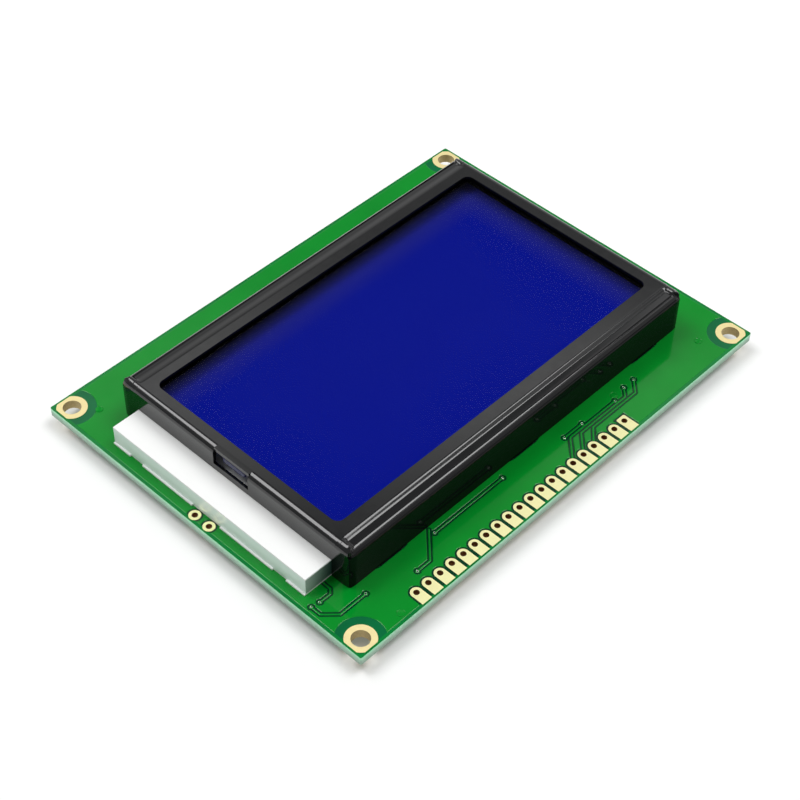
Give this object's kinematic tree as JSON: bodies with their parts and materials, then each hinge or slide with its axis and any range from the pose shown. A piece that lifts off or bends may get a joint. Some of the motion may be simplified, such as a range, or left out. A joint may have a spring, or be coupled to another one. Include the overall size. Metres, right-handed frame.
{
  "type": "graphic lcd module",
  "caption": "Flat graphic display module: a circuit board with a black steel bezel, a deep blue screen, an edge-lit backlight, corner mounting holes and a row of header pads.",
  "frame": {"origin": "centre of the board's outline, on the plane that the ends of the bezel's twisted tabs stand on", "axes": "+X along the board's long side, towards the end where the backlight shows; +Y along its short side, towards the row of header pads; +Z out of the screen"},
  "size_m": [0.093, 0.07, 0.0116],
  "materials": {
    "board_laminate": "satin",
    "solder_mask": "glossy",
    "gold_plate": "satin",
    "bezel_paint": "semi-gloss",
    "polarizer_film": "glossy",
    "cell_glass": "polished",
    "sealing_resin": "glossy",
    "zebra_rubber": "matte",
    "clear_plastic": "polished",
    "white_film": "matte",
    "led_board_laminate": "satin",
    "led_package": "satin",
    "tinned_wire": "satin",
    "chip_resin": "matte",
    "resistor_body": "matte",
    "capacitor_body": "matte"
  },
  "bodies": {
    "root": {"printed_circuit_board": "board_laminate", "front_copper_layer": "solder_mask", "back_copper_layer": "solder_mask", "mounting_hole_rings": "gold_plate", "header_pads": "gold_plate", "backlight_wire_pads": "gold_plate", "bezel": "bezel_paint", "front_polarizer": "polarizer_film", "rear_polarizer": "polarizer_film", "front_glass": "cell_glass", "rear_glass": "cell_glass", "fill_port_plug": "sealing_resin", "zebra_strip_upper": "zebra_rubber", "zebra_strip_lower": "zebra_rubber", "backlight_light_guide": "clear_plastic", "backlight_diffuser": "white_film", "backlight_cover_film": "white_film", "backlight_reflector": "white_film", "backlight_led_board": "led_board_laminate", "backlight_leds": "led_package", "backlight_pins": "tinned_wire", "controller_chip_blob": "chip_resin", "driver_chip_blob_left": "chip_resin", "driver_chip_blob_right": "chip_resin", "smd_resistors": "resistor_body", "smd_capacitors": "capacitor_body"}
  },
  "joints": []
}
